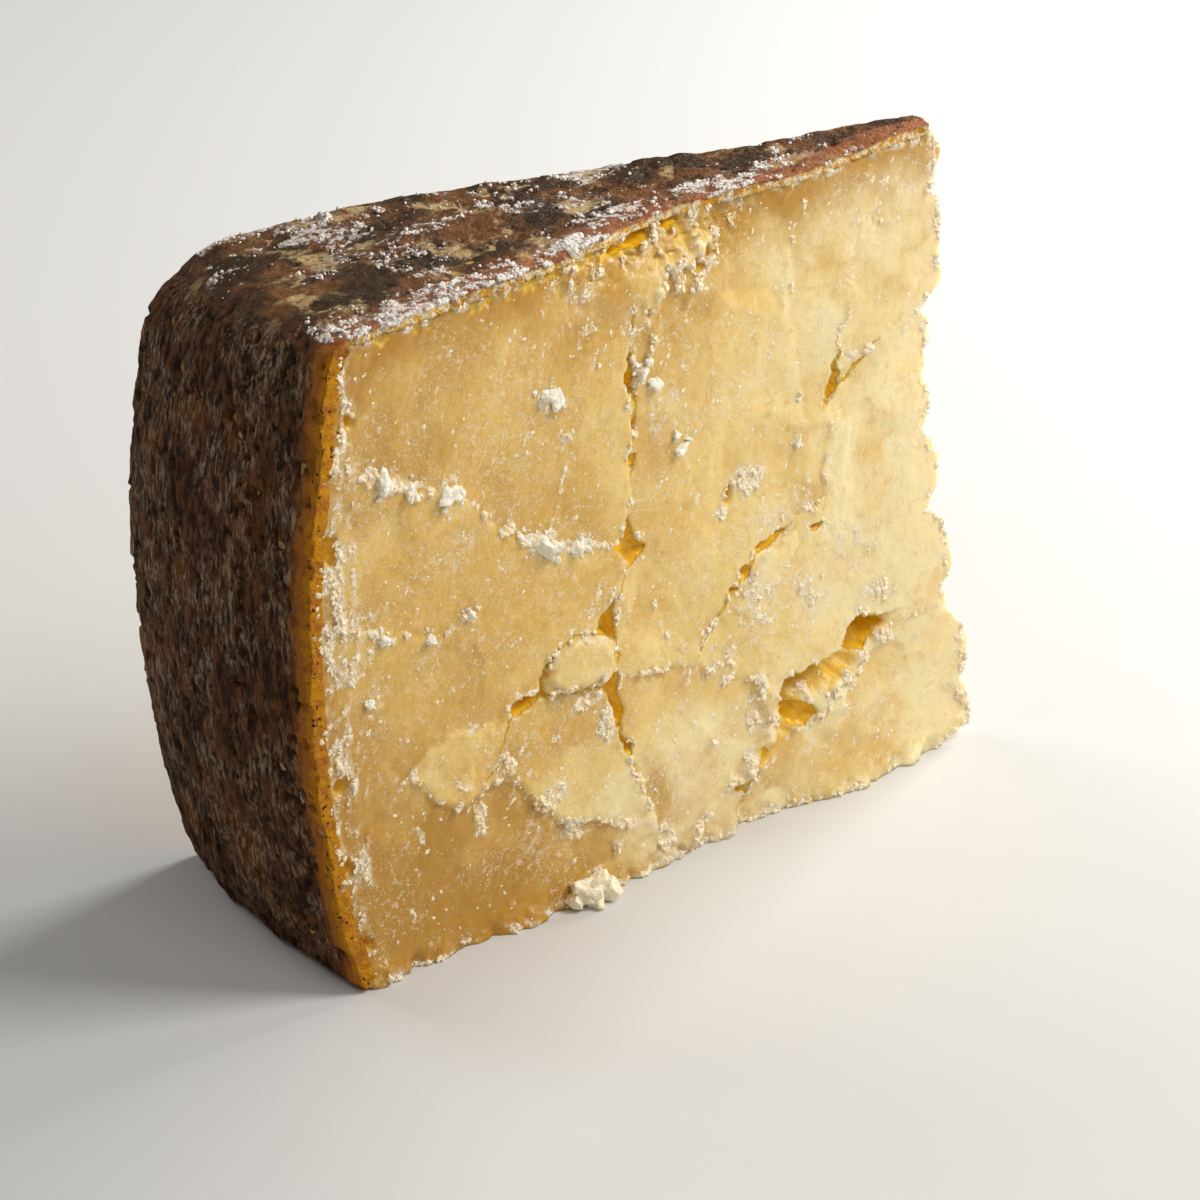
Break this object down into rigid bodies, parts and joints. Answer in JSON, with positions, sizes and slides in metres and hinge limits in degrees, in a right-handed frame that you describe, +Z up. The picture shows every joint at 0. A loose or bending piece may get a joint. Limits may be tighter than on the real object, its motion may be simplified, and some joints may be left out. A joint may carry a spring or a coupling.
{
  "type": "aged cheddar wedge",
  "caption": "Wedge of aged cheddar with a rough natural rind on its top and curved side, cracked broken cuts with crumbly crystals, and a flat cut base it stands on.",
  "frame": {"origin": "middle of the base's bounding box, on the surface that the wedge stands on", "axes": "+X from the rind towards the thin tip, along the front cut; -Y out of the front cut; +Z up"},
  "size_m": [0.1064, 0.0496, 0.0843],
  "materials": {
    "paste": "waxy, pale golden aged cheddar paste, broken and crumbly",
    "rind": "dry brown natural rind with pale mould bloom, pitted and wrinkled",
    "crystal": "white salt crystals and dry crumbs of paste"
  },
  "bodies": {
    "root": {"cheese": "paste"}
  },
  "joints": []
}
